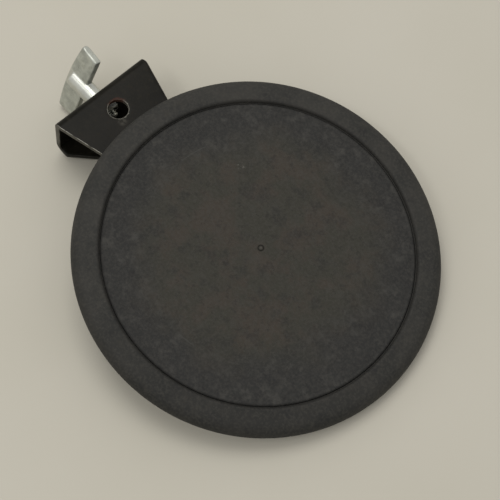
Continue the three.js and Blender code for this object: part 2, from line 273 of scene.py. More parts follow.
def triangulated(loops, holes, edge, inner_points):
    """Fills the first loop with triangles and leaves the other loops, round the holes, open.

    Returns the points, the triangles, and the index of each source point among the points.
    """
    flat, edges = [], []
    for loop in loops:
        start = len(flat)
        flat += loop
        edges += [(start + i, start + (i + 1) % len(loop)) for i in range(len(loop))]
    flat += inner_points
    border = list(range(len(loops[0])))
    found = delaunay_2d_cdt(flat, edges, [border], INSIDE_ONLY, MERGE_DISTANCE, True)
    flat_points, triangles, sources = found[0], found[2], found[3]
    index_of = {source: i for i, group in enumerate(sources) for source in group}

    def in_plate(triangle):
        """Whether a triangle is neither in a hole nor a sliver along a straight edge."""
        corners = [flat_points[i] for i in triangle]
        middle = sum(corners, Vector((0, 0))) / len(corners)
        for (x, y, radius), loop in zip(holes, loops[1:]):
            is_near = (middle - Vector((x, y))).length < radius + edge
            if is_near and inside(middle, loop):
                return False
        return area_tri(*corners) > SLIVER_AREA

    return flat_points, [tuple(t) for t in triangles if in_plate(t)], index_of


def plate(outline, holes, thickness, edge, inner_points=(), edge_steps=4):
    """A flat plate in XY with rounded edges, centred on z = 0.

    outline is counterclockwise, and holes are (x, y, radius). Returns the points, the faces, and
    each point's distance in from the plate's edge, which is below zero on the cut edge itself.
    """
    loops = [shifted(divided(outline, EDGE_SPACING), edge)]
    loops += [shifted(hole_loop(*hole), edge) for hole in holes]
    border_tree = tree_of(loops)
    kept = [p for p in inner_points if border_tree.find(p.to_3d())[2] > EDGE_SPACING]
    kept = [p for p in kept if inside(p, loops[0])]
    kept = [p for p in kept if all((p - Vector(h[:2])).length > h[2] + edge for h in holes)]
    flat_points, triangles, index_of = triangulated(loops, holes, edge, kept)
    half = thickness / 2
    count = len(flat_points)
    points = [Vector((p.x, p.y, half)) for p in flat_points]
    points += [Vector((p.x, p.y, -half)) for p in flat_points]
    depth = [border_tree.find(p.to_3d())[2] for p in flat_points] * 2
    faces = triangles + [tuple(i + count for i in reversed(t)) for t in triangles]
    turns = [math.pi / 2 * k / edge_steps for k in range(1, edge_steps + 1)]
    levels = [(math.sin(t), half - edge + edge * math.cos(t)) for t in turns]
    levels += [(reach, -height) for reach, height in reversed(levels)]
    start = 0
    for loop in loops:
        top = [index_of[start + i] for i in range(len(loop))]
        start += len(loop)
        rows = [top]
        for reach, height in levels[:-1]:
            row = []
            for point, outer in zip(loop, shifted(loop, -edge)):
                place = point.lerp(outer, reach)
                row.append(len(points))
                points.append(Vector((place.x, place.y, height)))
                depth.append(-reach)
            rows.append(row)
        rows.append([i + count for i in top])
        for a, b in zip(rows, rows[1:]):
            for i in range(len(loop)):
                j = (i + 1) % len(loop)
                faces.append((a[i], a[j], b[j], b[i]))
    return points, faces, depth


def hexagon(across_flats, bottom, top, bore=0):
    """A hexagonal head or nut along Z, with chamfered corners at its ends and in its bore."""
    side_steps, chamfer_share, chamfer_slope = 8, 0.96, math.radians(30)
    segments = 6 * side_steps
    chamfer_radius = across_flats / 2 * chamfer_share

    def side_radius(i):
        from_middle = 2 * math.pi * (i / segments) % (math.pi / 3) - math.pi / 6
        return across_flats / 2 / math.cos(from_middle)

    def side_ring(end, inward):
        ring = []
        for i in range(segments):
            radius = side_radius(i)
            drop = max(0, radius - chamfer_radius) * math.tan(chamfer_slope)
            ring.append(polar(radius, 2 * math.pi * i / segments, end + inward * drop))
        return ring

    outer = [
        circle(chamfer_radius, bottom, segments),
        side_ring(bottom, 1),
        side_ring(top, -1),
        circle(chamfer_radius, top, segments),
    ]
    if bore == 0:
        return skin([circle(0, bottom, 1), *outer, circle(0, top, 1)])
    lead_in = 0.5
    wide = bore + lead_in
    levels = [(wide, top), (bore, top - lead_in), (bore, bottom + lead_in), (wide, bottom)]
    return skin([*outer, *(circle(*level, segments) for level in levels)], loop=True)


def threaded(radius, pitch, bottom, top, chamfer, segments=40, steps_per_turn=8):
    """A right-hand threaded rod along Z, with both ends chamfered."""
    depth = 0.6 * pitch
    flank_slope, root_width = 1.6, 0.3
    count = math.ceil((top - bottom) / pitch * steps_per_turn)
    rings = [circle(0, bottom, 1)]
    for step in range(count + 1):
        height = bottom + (top - bottom) * step / count
        end = min(height - bottom, top - height)
        limit = radius - max(0, chamfer - end)
        ring = []
        for i in range(segments):
            turn = i / segments
            phase = (height / pitch - turn) % 1
            ridge = max(0, min(1, flank_slope * abs(2 * phase - 1) - root_width))
            reach = min(limit, radius - depth * (1 - ridge))
            ring.append(polar(reach, 2 * math.pi * turn, height))
        rings.append(ring)
    rings.append(circle(0, top, 1))
    return skin(rings)


def joined(*shapes):
    """Several (points, faces) shapes as one, each left as its own closed body."""
    points, faces = [], []
    for shape_points, shape_faces in shapes:
        start = len(points)
        points += shape_points
        faces += [tuple(i + start for i in face) for face in shape_faces]
    return points, faces


def moved(shape, matrix):
    points, faces = shape
    return [matrix @ point for point in points], faces


SHARP_ANGLE = math.radians(35)


def make_mesh(name, shape, sharp=SHARP_ANGLE):
    """A mesh in metres with its faces pointing out, smooth except at sharp edges."""
    points, faces = shape
    mesh = bpy.data.meshes.new(name)
    mesh.from_pydata([point * MM for point in points], [], faces)
    work = bmesh.new()
    work.from_mesh(mesh)
    bmesh.ops.recalc_face_normals(work, faces=work.faces)
    work.to_mesh(mesh)
    work.free()
    mesh.shade_smooth()
    mesh.set_sharp_from_angle(angle=sharp)
    return mesh


def new_object(name, data):
    made = bpy.data.objects.new(name, data)
    bpy.context.scene.collection.objects.link(made)
    return made


def add_piece(name, shape, look, stands_for, body="pad", sharp=SHARP_ANGLE):
    """A piece with a shape made in the pad's frame, which stands for a CAD node."""
    mesh = make_mesh(name, shape, sharp)
    mesh.transform(PAD)
    mesh.materials.append(look.material)
    piece = new_object(name, mesh)
    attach(piece, body)
    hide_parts(stands_for)
    return piece


def with_modifier(mesh, kind, **settings):
    """The mesh after one modifier, as a new mesh."""
    holder = new_object("holder", mesh)
    modifier = holder.modifiers.new("step", kind)
    for key, value in settings.items():
        setattr(modifier, key, value)
    graph = bpy.context.evaluated_depsgraph_get()
    result = bpy.data.meshes.new_from_object(holder.evaluated_get(graph))
    bpy.data.objects.remove(holder)
    return result


def combined(mesh, other, operation):
    """Two closed meshes as one, by an exact boolean operation."""
    tool = new_object("tool", other)
    result = with_modifier(mesh, "BOOLEAN", object=tool, operation=operation, solver="EXACT")
    bpy.data.objects.remove(tool)
    return result


# ---- Material helpers ----

def srgb(red, green, blue):
    """A colour given as display values from 0 to 255, as linear RGBA."""
    def linear(value):
        value /= 255
        return value / 12.92 if value <= 0.04045 else ((value + 0.055) / 1.055) ** 2.4
    return (linear(red), linear(green), linear(blue), 1)


class Look:
    """One Principled material, named after its slot, with short names for its nodes."""

    # The Mix node's colour sockets, by their index.
    MIX_A, MIX_B, MIX_RESULT = 6, 7, 2

    def __init__(self, slot, **constants):
        self.slot = slot
        self.colour = None
        self.material = bpy.data.materials.new(slot)
        self.material.use_nodes = True
        self.tree = self.material.node_tree
        self.shader = self.tree.nodes["Principled BSDF"]
        for key, value in constants.items():
            self.shader.inputs[key.replace("_", " ")].default_value = value
        place = {"Location": TO_PAD.translation, "Rotation": TO_PAD.to_euler()}
        place["Vector"] = self.node("TexCoord").outputs["Object"]
        self.coords = self.node("Mapping", place).outputs["Vector"]

    def node(self, kind, inputs=None, **settings):
        made = self.tree.nodes.new("ShaderNode" + kind)
        for key, value in settings.items():
            setattr(made, key, value)
        for key, value in (inputs or {}).items():
            self.feed(made.inputs[key], value)
        return made

    def feed(self, socket, value):
        if isinstance(value, bpy.types.NodeSocket):
            self.tree.links.new(value, socket)
        else:
            socket.default_value = value

    def placed(self, stretch=(1, 1, 1), shift=0):
        """The pad's coordinates, stretched, and shifted so that two patterns differ."""
        inputs = {"Vector": self.coords, "Scale": stretch, "Location": (shift, shift, shift)}
        return self.node("Mapping", inputs).outputs["Vector"]

    def noise(self, size, detail=4, rough=0.55, stretch=(1, 1, 1), shift=0):
        """Noise from 0 to 1 with blotches of a size in millimetres.

        They get longer along an axis whose stretch is below 1.
        """
        inputs = {"Scale": 1 / (size * MM), "Detail": detail, "Roughness": rough}
        inputs["Vector"] = self.placed(stretch, shift)
        return self.node("TexNoise", inputs).outputs["Fac"]

    def step(self, value, low, high, to_low=0, to_high=1):
        """A smooth rise from to_low to to_high as value goes from low to high."""
        ends = {"From Min": low, "From Max": high, "To Min": to_low, "To Max": to_high}
        made = self.node("MapRange", {"Value": value, **ends}, interpolation_type="SMOOTHSTEP")
        return made.outputs["Result"]

    def patches(self, size, low, high, most=1, **noise_settings):
        """A mask of noise patches: 0 where the noise is at low, most where it is at high."""
        return self.step(self.noise(size, **noise_settings), low, high, 0, most)

    def math(self, operation, first, second=0.0):
        return self.node("Math", {0: first, 1: second}, operation=operation).outputs[0]

    def times(self, first, second):
        return self.math("MULTIPLY", first, second)

    def plus(self, first, second):
        return self.math("ADD", first, second)

    def minus(self, first, second):
        return self.math("SUBTRACT", first, second)

    def rest(self, share):
        return self.minus(1.0, share)

    def apart(self, first, second):
        return self.math("ABSOLUTE", self.minus(first, second))

    def mix(self, factor, first, second):
        inputs = {"Factor": factor, self.MIX_A: first, self.MIX_B: second}
        return self.node("Mix", inputs, data_type="RGBA").outputs[self.MIX_RESULT]

    def base(self, mask, first, second):
        """Starts the colour: first where the mask is 0, second where it is 1."""
        self.colour = self.mix(mask, srgb(*first), srgb(*second))

    def paint(self, mask, rgb):
        """Lays a display colour over what is there, by a mask."""
        self.colour = self.mix(mask, self.colour, srgb(*rgb))

    def axis_distance(self, x=0, y=0):
        """Distance from an upright axis through (x, y) of the pad's frame, in millimetres."""
        inputs = {0: self.coords, 1: (x * MM, y * MM, 0)}
        from_axis = self.node("VectorMath", inputs, operation="SUBTRACT").outputs[0]
        inputs = {0: from_axis, 1: (1 / MM, 1 / MM, 0)}
        flat = self.node("VectorMath", inputs, operation="MULTIPLY").outputs[0]
        return self.node("VectorMath", {0: flat}, operation="LENGTH").outputs["Value"]

    def along(self, axis):
        """The pad frame's X, Y or Z, in millimetres."""
        parts = self.node("SeparateXYZ", {"Vector": self.coords})
        return self.math("DIVIDE", parts.outputs[axis], MM)

    def attribute(self, name):
        return self.node("Attribute", attribute_name=name).outputs["Fac"]

    def specks(self, spacing, size, share, shift=0):
        """A mask of small round specks, in a share of cells of a given spacing, in millimetres."""
        inputs = {"Vector": self.placed(shift=shift), "Scale": 1 / (spacing * MM)}
        cells = self.node("TexVoronoi", inputs)
        near = self.step(cells.outputs["Distance"], size / spacing, 0.4 * size / spacing)
        draw = self.node("SeparateColor", {"Color": cells.outputs["Color"]}).outputs["Red"]
        return self.times(near, self.math("LESS_THAN", draw, share))

    def bump(self, height, depth, under=None):
        """Relief of a depth in millimetres, on top of an earlier bump."""
        inputs = {"Height": height, "Distance": depth * MM, "Strength": 1}
        if under is not None:
            inputs["Normal"] = under
        return self.node("Bump", inputs).outputs["Normal"]

    def finish(self, roughness, normal=None, metal=None):
        self.feed(self.shader.inputs["Base Color"], self.colour)
        self.feed(self.shader.inputs["Roughness"], roughness)
        if normal is not None:
            self.feed(self.shader.inputs["Normal"], normal)
        if metal is not None:
            self.feed(self.shader.inputs["Metallic"], metal)
        return self


# ---- Materials ----

def surface_rubber():
    """Charcoal rubber, browned by dust where sticks land and blotched towards its edge, with painted shade in the
    gap at its edge and in the groove round its pip.
    """
    look = Look("surface_rubber", IOR=1.5, Specular_IOR_Level=0.2)
    from_axis = look.axis_distance()
    reach = look.math("DIVIDE", from_axis, disc_high.x)
    drift = look.times(look.noise(38, 5), 0.5)
    outer = look.step(look.plus(reach, drift), 0.82, 1.12)
    look.base(outer, (53, 52, 46), (44, 44, 43))

    brown = look.patches(20, 0.44, 0.6, detail=7, rough=0.66, shift=3)
    look.paint(look.times(brown, look.rest(outer)), (59, 54, 48))
    blotches = look.patches(6, 0.48, 0.7, detail=6, rough=0.66, shift=7)
    strength = look.step(outer, 0, 1, 0.3, 0.68)
    look.paint(look.times(blotches, strength), (71, 70, 67))
    dark = look.patches(12, 0.47, 0.36, 0.42, detail=7, rough=0.66, shift=11)
    look.paint(dark, (36, 36, 36))
    grain = look.patches(1.6, 0.38, 0.7, 0.4, detail=3, rough=0.7, shift=5)
    look.paint(grain, (68, 66, 62))
    worn = look.patches(3.2, 0.46, 0.34, 0.36, rough=0.7, shift=9)
    look.paint(worn, (36, 35, 34))

    # A faint, broken, lighter ring at a share of the disc's radius.
    from_ring = look.apart(reach, PALE_RING_SHARE)
    broken = look.patches(30, 0.5, 0.62, 0.3, detail=2)
    ring = look.times(look.step(from_ring, 0.006, 0.001), broken)
    look.paint(ring, (76, 76, 73))
    # Painted shade: the disc darkens towards its edge, where the gap round it lies in shade.
    gap_shade = look.step(from_axis, disc_high.x - 1.6, disc_high.x - 0.4, 0, 0.3)
    look.paint(gap_shade, GAP_SHADE_COLOUR)
    # Painted shade in the groove round the pip; the pip's centre is painted lighter.
    from_groove = look.apart(from_axis, PIP_RADIUS + 0.25)
    look.paint(look.step(from_groove, 0.5, 0.15, 0, 0.6), (16, 16, 16))
    pip = look.step(from_axis, 0.7, 0.2, 0, 0.6)
    look.paint(pip, (84, 83, 79))

    chalk = look.times(look.specks(15, 0.6, 0.16), 0.7)
    scuff = look.step(look.axis_distance(*DISC_SCUFF), 3.4, 0.6)
    scuff = look.times(scuff, look.patches(1.5, 0.5, 0.66, 0.6, shift=2))
    look.paint(look.math("MAXIMUM", chalk, scuff), (108, 106, 100))

    waves = look.bump(look.noise(7, rough=0.6, shift=1), 0.14)
    normal = look.bump(look.noise(0.7, 2, 0.6), 0.05, waves)
    return look.finish(look.step(blotches, 0, 1, 0.8, 0.92), normal)


def rim_rubber():
    """The moulded rim: the same rubber, smoother, with streaks and dust, painted shade on its +X, -Y side, and
    painted shade in the gap round the disc.
    """
    look = Look("rim_rubber", IOR=1.5, Specular_IOR_Level=0.2)
    drift = look.patches(30, 0.38, 0.64, detail=6, rough=0.6)
    look.base(drift, (41, 41, 39), (50, 49, 46))
    # Painted shade: the rim darkens towards +X and -Y, the side turned away from the key light.
    towards_painted_shade = look.minus(look.along("X"), look.along("Y"))
    look.paint(look.step(towards_painted_shade, 20, 150, 0, 0.55), (30, 30, 29))
    streaks = look.patches(5, 0.5, 0.72, 0.45, detail=5, rough=0.65, shift=4)
    look.paint(streaks, (61, 59, 55))
    dark = look.patches(11, 0.45, 0.34, 0.5, detail=5, rough=0.62, shift=9)
    look.paint(dark, (33, 33, 33))
    grain = look.patches(1.5, 0.4, 0.7, 0.42, detail=3, rough=0.7, shift=5)
    look.paint(grain, (66, 64, 59))
    from_axis = look.axis_distance()
    # Painted shade: the rim darkens at its bore, where the gap round the disc lies in shade.
    gap_shade = look.step(from_axis, RIM_BORE + 1.6, RIM_BORE + 0.5, 0, 0.3)
    look.paint(gap_shade, GAP_SHADE_COLOUR)
    look.paint(look.times(look.specks(17, 0.5, 0.12, shift=6), 0.7), (94, 91, 83))
    waves = look.bump(look.noise(9, 3, shift=1), 0.14)
    normal = look.bump(look.noise(0.6, 2, 0.6), 0.035, waves)
    return look.finish(look.step(streaks, 0, 0.45, 0.66, 0.8), normal)


def foam():
    """Closed-cell foam sheet: small dark cells."""
    look = Look("foam", Sheen_Weight=0.1)
    cells = look.node("TexVoronoi", {"Vector": look.coords, "Scale": 1 / (FOAM_CELL * MM)})
    pores = look.step(cells.outputs["Distance"], 0.1, 0.6)
    look.base(pores, (22, 23, 24), (48, 49, 51))
    look.paint(look.patches(14, 0.4, 0.7, 0.4), (58, 58, 58))
    return look.finish(look.step(pores, 0, 1, 0.98, 0.86), look.bump(pores, 0.25))


def plywood():
    """Birch plywood: veneers at the sawn edge, long grain below, and painted shade on its top face, under the gap
    round the disc.
    """
    look = Look("plywood")
    veneer = (board_high.z - board_low.z) / VENEER_COUNT
    layer = look.math("PINGPONG", look.math("DIVIDE", look.along("Z"), veneer), 1)
    look.base(look.step(layer, 0.4, 0.6), (196, 162, 118), (160, 122, 82))
    grain = look.noise(4, 8, 0.7, stretch=(0.08, 1, 1))
    look.paint(look.step(grain, 0.35, 0.7, 0, 0.6), (134, 98, 63))
    # Painted shade: the top face goes dark, where it shows in the shaded gap round the disc.
    top_shade = look.step(look.along("Z"), board_high.z - 0.5, board_high.z - 0.2)
    look.paint(top_shade, (30, 27, 24))
    return look.finish(look.step(grain, 0.3, 0.7, 0.6, 0.85), look.bump(grain, 0.12))


def base_paint():
    """Satin black paint on the base plate, with fine orange peel, dust and light scratches."""
    look = Look("base_paint", Coat_Weight=0.15, Coat_Roughness=0.35)
    drift = look.patches(26, 0.35, 0.7, detail=6, rough=0.6)
    look.base(drift, (33, 32, 30), (43, 42, 39))
    along_y = (1, 0.03, 1)
    scratches = look.patches(2.2, 0.66, 0.72, 0.5, detail=3, rough=0.6, stretch=along_y, shift=3)
    look.paint(scratches, (84, 82, 77))
    ragged_depth = look.plus(look.attribute("depth"), look.noise(3, 3))
    look.paint(look.step(ragged_depth, 0.6, 0.2, 0, 0.8), (92, 90, 84))
    peel = look.bump(look.noise(1.3, 2, 0.5), 0.02, look.bump(scratches, -0.02))
    return look.finish(look.step(look.noise(11, shift=8), 0.3, 0.7, 0.4, 0.55), peel)


def bracket_paint():
    """Satin black paint on folded steel, worn to grey at the cut edges and rusty round the hole."""
    look = Look("bracket_paint", IOR=1.45, Specular_IOR_Level=0.1)
    depth = look.attribute("depth")
    drift = look.patches(22, 0.35, 0.68, detail=6, rough=0.6)
    look.base(drift, (15, 14, 9), (25, 23, 18))
    dust = look.patches(2.4, 0.48, 0.75, 0.4, detail=5, rough=0.7, shift=2)
    look.paint(dust, (50, 47, 39))

    used_side = look.step(look.along("Y"), half_width * 0.8, -half_width * 0.6, 0.15, 1)
    above_flange = look.step(look.along("Z"), bracket_low.z + 3, bracket_low.z + 14, 0.1, 1)
    used_side = look.times(used_side, above_flange)
    on_edge = look.step(depth, -0.1, -0.7)
    patchy = look.step(look.noise(6, 5, 0.6, shift=1), 0.3, 0.6, 0.45, 1)
    worn = look.times(on_edge, look.times(patchy, used_side))
    look.paint(worn, (80, 78, 70))
    chips = look.times(look.patches(3.2, 0.34, 0.56, detail=6, rough=0.7, shift=6), used_side)
    from_arris = look.apart(depth, -0.3)
    arris = look.times(look.step(from_arris, 0.34, 0.1), chips)
    look.paint(arris, (158, 155, 146))

    ragged = look.step(look.noise(2.2, 5, 0.65, shift=3), 0.2, 0.8, -0.9, 0.9)
    from_rod = look.plus(look.axis_distance(-rod_distance, 0), ragged)
    rusty = look.step(look.axis_distance(-rod_distance - 6, 3), 7.5, 3.5)
    rust = look.step(from_rod, ROD_HOLE_RADIUS + 1.6, ROD_HOLE_RADIUS + 0.4)
    look.paint(look.times(look.times(rust, rusty), 0.7), (60, 34, 25))
    bare = look.step(from_rod, ROD_HOLE_RADIUS + 0.7, ROD_HOLE_RADIUS)
    bare = look.times(bare, look.rest(rusty))
    look.paint(look.times(bare, 0.6), (108, 106, 99))
    scuff = look.step(look.axis_distance(-rod_distance + 7.4, -3), 3.8, 0.8)
    scuff = look.times(scuff, look.patches(2.2, 0.36, 0.66, 0.45, detail=5, shift=5))
    look.paint(scuff, (90, 87, 79))

    bare_metal = look.times(look.math("MAXIMUM", arris, bare), 0.5)
    normal = look.bump(look.noise(1.4, 2, 0.5), 0.035, look.bump(bare_metal, -0.06))
    return look.finish(look.step(dust, 0, 0.4, 0.36, 0.5), normal, bare_metal)


def zinc_plate():
    """Bright zinc plating, clouded by handling and dulled in spots."""
    look = Look("zinc_plated_steel", Metallic=1.0)
    cloud = look.patches(3.5, 0.35, 0.68, detail=5, rough=0.6)
    look.base(cloud, (196, 198, 194), (168, 170, 162))
    look.paint(look.patches(1.2, 0.58, 0.75, 0.5, rough=0.7, shift=4), (120, 118, 110))
    roughness = look.step(look.noise(2.2, 3, shift=2), 0.3, 0.7, 0.24, 0.42)
    return look.finish(roughness, look.bump(look.noise(0.5, 3), 0.01))


def cast_zinc():
    """Die-cast zinc: a dull grey skin with flow marks, and a boss polished along its length."""
    look = Look("cast_zinc", Metallic=0.8)
    cloud = look.patches(6, 0.34, 0.68, detail=6, rough=0.6)
    look.base(cloud, (196, 199, 190), (170, 173, 165))
    stain = look.patches(2.6, 0.5, 0.72, 0.5, detail=6, rough=0.7, shift=3)
    look.paint(stain, (138, 138, 125))
    pits = look.specks(2.6, 0.5, 0.2, shift=1)
    look.paint(look.times(pits, 0.5), (110, 109, 100))

    across = look.along("Y")
    height = look.minus(look.along("Z"), bolt_height)
    squares = look.plus(look.times(across, across), look.times(height, height))
    from_bolt = look.math("SQRT", squares)
    polished = look.step(from_bolt, WING_BOSS_RADIUS + 1.2, WING_BOSS_RADIUS + 0.2)
    look.paint(look.times(polished, 0.5), (216, 217, 210))
    dull = look.step(look.noise(4, 5, shift=6), 0.3, 0.7, 0.42, 0.56)
    drawn_lines = look.noise(0.7, 3, 0.6, stretch=(0.08, 1, 1), shift=6)
    bright = look.step(drawn_lines, 0.3, 0.7, 0.3, 0.37)
    change = look.times(polished, look.minus(bright, dull))
    skin = look.times(look.noise(1.6, rough=0.6, shift=9), look.rest(polished))
    normal = look.bump(pits, -0.05, look.bump(skin, 0.05))
    return look.finish(look.plus(dull, change), normal)


def floor_paint():
    look = Look("pale_floor", Specular_IOR_Level=0.3)
    look.base(look.patches(220, 0.3, 0.7), (191, 187, 175), (188, 184, 171))
    return look.finish(look.step(look.noise(60, 3), 0.3, 0.7, 0.6, 0.7))


# ---- Pad ----

def make_playing_surface(look):
    """The rubber disc: a moulding pip at its centre, a shallow groove near its rounded edge."""
    radius, bottom = disc_high.x, disc_low.z
    level = -0.2
    profile = [
        (0.0, 0.0),
        (0.5 * PIP_RADIUS, -0.02),
        (0.85 * PIP_RADIUS, -0.2),
        (PIP_RADIUS, -0.55),
        (PIP_RADIUS + 0.35, -0.6),
        (PIP_RADIUS + 0.6, -0.25),
        (PIP_RADIUS + 1.0, -0.1),
    ]
    ring_count = 44
    start, flat_end = PIP_RADIUS + 2, radius - 3.4
    for i in range(ring_count + 1):
        profile.append((start + (flat_end - start) * i / ring_count, level))
    groove_depth = 0.16
    profile += [
        (radius - 2.9, level - groove_depth),
        (radius - 2.4, level - groove_depth),
        (radius - 1.7, level),
    ]
    side = rod_profile(radius, level, bottom, 1.5, 0.4)
    points, faces = turned(profile + side[1:], segments=256)
    for point in points:
        if point.z > -1:
            swell = noise.noise(point / 16) * 0.08 + noise.noise(point / 5) * 0.03
            point.z += swell
    add_piece("rubber_disc", (points, faces), look, "playing_surface")


def rim_outside(centre, middle, edge):
    """The rim's round outer half in section, from below, with its faint parting line."""
    parting, parting_width = 0.12, 2.2
    steps = 40
    profile = []
    for i in range(steps + 1):
        turn = -math.pi / 2 + math.pi * i / steps
        lift = parting * math.exp(-((math.degrees(turn) / parting_width) ** 2))
        across = edge - parting + parting * math.sin(turn) ** 2 + lift
        profile.append((centre + across * math.cos(turn), middle + edge * math.sin(turn)))
    return profile


def make_rim(look):
    """The moulded ring: a groove for the board, a full round edge, a rounded shoulder, and a thin
    lip that closes the gap round the disc."""
    top, bottom, outer = rim_high.z, rim_low.z, rim_high.x
    edge = (top - bottom) / 2
    middle = (top + bottom) / 2
    centre = outer - edge
    board_gap = 0.3
    groove_radius = board_high.x + board_gap
    groove_top, groove_bottom = board_high.z + board_gap, board_low.z - board_gap
    profile = [
        (RIM_BORE, groove_top),
        (groove_radius, groove_top),
        (groove_radius, groove_bottom),
        (RIM_LIP_RADIUS, groove_bottom),
        (RIM_LIP_RADIUS + 0.3, bottom),
    ]
    profile += rim_outside(centre, middle, edge)
    corner = (RIM_BORE, top, RIM_SHOULDER_RADIUS)
    corners = [(centre, top, 0), corner, (RIM_BORE, groove_top, 0)]
    shoulder = filleted(corners, step=math.radians(7))
    flat_steps = 6
    first = shoulder[1].x
    for i in range(1, flat_steps):
        profile.append((centre + (first - centre) * i / flat_steps, top))
    profile += shoulder[1:-1]
    lip_level, lip_thickness = -0.95, 1.0
    lip_radius = disc_high.x + 0.12
    profile += [
        (RIM_BORE, shoulder[-2].y - 0.02),
        (RIM_BORE - 0.1, lip_level),
        (lip_radius, lip_level - 0.2),
        (lip_radius, lip_level - lip_thickness),
        (RIM_BORE, lip_level - lip_thickness - 0.3),
    ]
    points, faces = turned(profile, segments=288, loop=True)
    for point in points:
        if point.z > middle and point.xy.length > RIM_BORE + 1:
            point.z += (noise.noise(point / 22) - 0.3) * 0.12
    add_piece("rubber_rim", (points, faces), look, "rim_cover")


def make_foam(look):
    """The foam sheet under the rubber, with soft edges and an uneven skin."""
    radius, bottom, top = foam_high.x, foam_low.z, foam_high.z
    outline = rod_profile(radius, bottom, top, 0.7, 0.7)
    flats = [radius * share / 16 for share in range(1, 16)]
    profile = [(0, bottom), *((r, bottom) for r in flats), *outline[1:-1]]
    profile += [*((r, top) for r in reversed(flats)), (0, top)]
    points, faces = turned(profile, segments=160)
    middle = (bottom + top) / 2
    for point in points:
        inward = 0.12 * (0.5 + noise.noise(point / 6))
        point.z += -inward if point.z > middle else inward
    piece = add_piece("foam_sheet", (points, faces), look, "shock_foam")


def places(node, count):
    """The middles of a numbered row of CAD nodes, as (x, y) in the pad's frame."""
    corners = [extent(f"{node}_{i + 1}") for i in range(count)]
    middles = [(low + high) / 2 for low, high in corners]
    return [(middle.x, middle.y) for middle in middles]


bolt_places = places("bracket_bolt", BRACKET_BOLT_COUNT)
screw_places = places("base_screw", BASE_SCREW_COUNT)


def polar_points(radius, spacing):
    """Points on rings a spacing apart, for a disc's flat face."""
    points = [Vector((0, 0))]
    for ring in range(1, int(radius / spacing)):
        count = 6 * ring
        for i in range(count):
            angle = 2 * math.pi * (i + 0.5 * (ring % 2)) / count
            points.append(Vector((math.cos(angle), math.sin(angle))) * ring * spacing)
    return points


def make_base_plate(look):
    """The steel disc under the board, with rounded edges and holes for its screws and bolts."""
    radius, bottom, top = base_high.x, base_low.z, base_high.z
    outline = [Vector(p.xy) for p in circle(radius, 0, round(2 * math.pi * radius / EDGE_SPACING))]
    holes = [(x, y, BASE_BOLT_HOLE_RADIUS) for x, y in bolt_places]
    holes += [(x, y, BASE_SCREW_HOLE_RADIUS) for x, y in screw_places]
    edge, grid = 0.35, polar_points(radius, 2.5)
    points, faces, depth = plate(outline, holes, top - bottom, edge, grid, edge_steps=3)
    lifted = moved((points, faces), Matrix.Translation((0, 0, (top + bottom) / 2)))
    piece = add_piece("steel_base_plate", lifted, look, "base_plate")
    store(piece.data, "depth", depth)


def store(mesh, name, values):
    attribute = mesh.attributes.new(name, "FLOAT", "POINT")
    attribute.data.foreach_set("value", values)


def pan_head_screw():
    """A pan-head wood screw with a cross recess, head down, on the pad's axis."""
    low, high = extent("base_screw_1")
    head_radius, head_height, head_round = 3.5, 2.0, 1.3
    seat = low.z + head_height
    neck_end, shank_start = seat + 1.2, seat + 1.0
    profile = filleted(
        [
            (0, low.z, 0),
            (head_radius, low.z, head_round),
            (head_radius, seat, 0.2),
            (WOOD_SCREW["radius"], seat, 0.3),
            (WOOD_SCREW["radius"], neck_end, 0),
            (0, neck_end, 0),
        ]
    )
    head = make_mesh("screw_head", turned(profile, 48))
    recess = make_mesh("screw_recess", cross_recess(low.z, depth=1.35, length=2.1, width=0.75))
    cut_head = shape_of(combined(head, recess, "DIFFERENCE"))
    shank = threaded(**WOOD_SCREW, bottom=shank_start, top=high.z, chamfer=1.5, segments=24)
    return joined(cut_head, shank)


def shape_of(mesh):
    """A mesh's points in millimetres and its faces."""
    points = [vertex.co / MM for vertex in mesh.vertices]
    return points, [tuple(polygon.vertices) for polygon in mesh.polygons]


def cross_recess(face, depth, length, width):
    """The cutter for a cross recess: two crossed tapered bars that narrow upwards."""
    below = 0.6
    arms = []
    for quarter in (0, 1):
        rings = []
        for level, share in ((-below, 1.12), (0, 1.0), (depth, 0.45)):
            half_length, half_width = length * share, width * share / 2
            corners = [(1, 1), (-1, 1), (-1, -1), (1, -1)]
            ring = [Vector((half_length * a, half_width * b, face + level)) for a, b in corners]
            rings.append(ring)
        closed = [[Vector((0, 0, face - below))], *rings, [Vector((0, 0, face + depth))]]
        bar = moved(skin(closed), Matrix.Rotation(quarter * math.pi / 2, 4, "Z"))
        arms.append(make_mesh("recess_arm", bar))
    return shape_of(combined(*arms, "UNION"))


def make_base_screws(look):
    shape = pan_head_screw()
    for index, (x, y) in enumerate(screw_places):
        spin = Matrix.Rotation(index * 1.1, 4, "Z")
        placed = moved(shape, Matrix.Translation((x, y, 0)) @ spin)
        number = index + 1
        add_piece(f"pan_head_screw_{number}", placed, look, f"base_screw_{number}")


# ---- Clamp bracket and its fixings ----

def fold(point):
    """Folds a point of the flat blank (along, across, height) into the bracket."""
    left = point.x
    place = Vector((tongue_end, bracket_high.z - SHEET / 2))
    heading = 0.0
    for index, (length, bend) in enumerate(stretches):
        is_last = index == len(stretches) - 1
        run = left if is_last else min(left, length)
        if bend is None:
            place = place + Vector((math.cos(heading), math.sin(heading))) * run
        else:
            outward = Vector((-math.sin(heading), math.cos(heading)))
            centre = place - outward * bend
            heading -= run / bend
            place = centre + Vector((-math.sin(heading), math.cos(heading))) * bend
        left -= run
        if left <= 0:
            break
    place += Vector((-math.sin(heading), math.cos(heading))) * point.z
    return Vector((-place.x, point.y, place.y))


